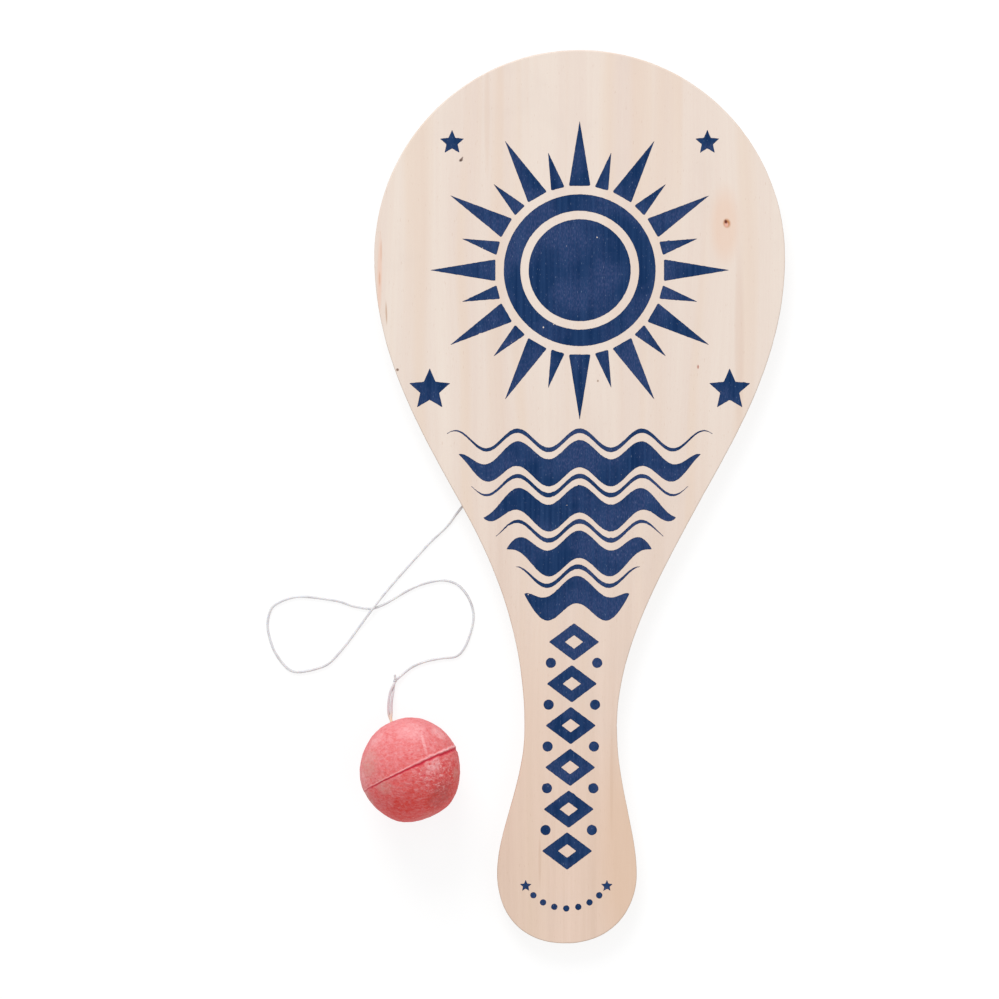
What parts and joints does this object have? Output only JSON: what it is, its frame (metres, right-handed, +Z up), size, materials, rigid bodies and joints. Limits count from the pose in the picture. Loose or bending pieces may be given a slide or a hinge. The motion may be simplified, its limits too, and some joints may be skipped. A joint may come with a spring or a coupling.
{
  "type": "paddle ball",
  "caption": "Flat egg-shaped plywood paddle with a tapered handle, and a soft rubber ball tied to its back by a slack elastic cord, lying face up.",
  "frame": {"origin": "bottom centre of the box round the paddle and the ball, on the table that they lie on", "axes": "+Z up, out of the paddle's printed face; +Y along the paddle from its butt to the top of its blade; +X across it, away from the ball"},
  "size_m": [0.163, 0.28, 0.0323],
  "materials": {
    "face_wood": "sanded pale basswood with a flat navy print",
    "core_wood": "cut edge of the cross ply",
    "back_wood": "sanded pale basswood, bare",
    "staple_steel": "galvanised wire",
    "elastic": "smooth milky elastic",
    "ball_rubber": "dusty moulded red rubber"
  },
  "bodies": {
    "paddle": {"front_veneer": "face_wood", "core_veneer": "core_wood", "back_veneer": "back_wood", "staple": "staple_steel", "pinched_cord": "elastic", "anchor_knot": "elastic", "anchor_tail": "elastic"},
    "tether": {"elastic_cord": "elastic"},
    "leash_end": {"ball_knot": "elastic", "ball_knot_tail": "elastic", "loop_strand_left": "elastic", "loop_strand_right": "elastic", "stop_knot": "elastic"},
    "ball": {"rubber_ball": "ball_rubber"}
  },
  "joints": [
    {"name": "cord_swing", "type": "hinge", "parent": "paddle", "child": "tether", "pos_m": [0.0023, 0.0632, 0.0011], "axis": [0, 0, 1], "range_deg": [-90, 6]},
    {"name": "ball_pull", "type": "slide", "parent": "tether", "child": "leash_end", "axis": [-0.3367, -0.9416, 0], "range_m": [0, 0.15], "deforming": ["elastic_cord"]},
    {"name": "ball_twist", "type": "hinge", "parent": "leash_end", "child": "ball", "pos_m": [-0.0507, -0.085, 0.01615], "axis": [-0.3266, 0.7512, -0.5736], "range_deg": [-180, 180]}
  ]
}
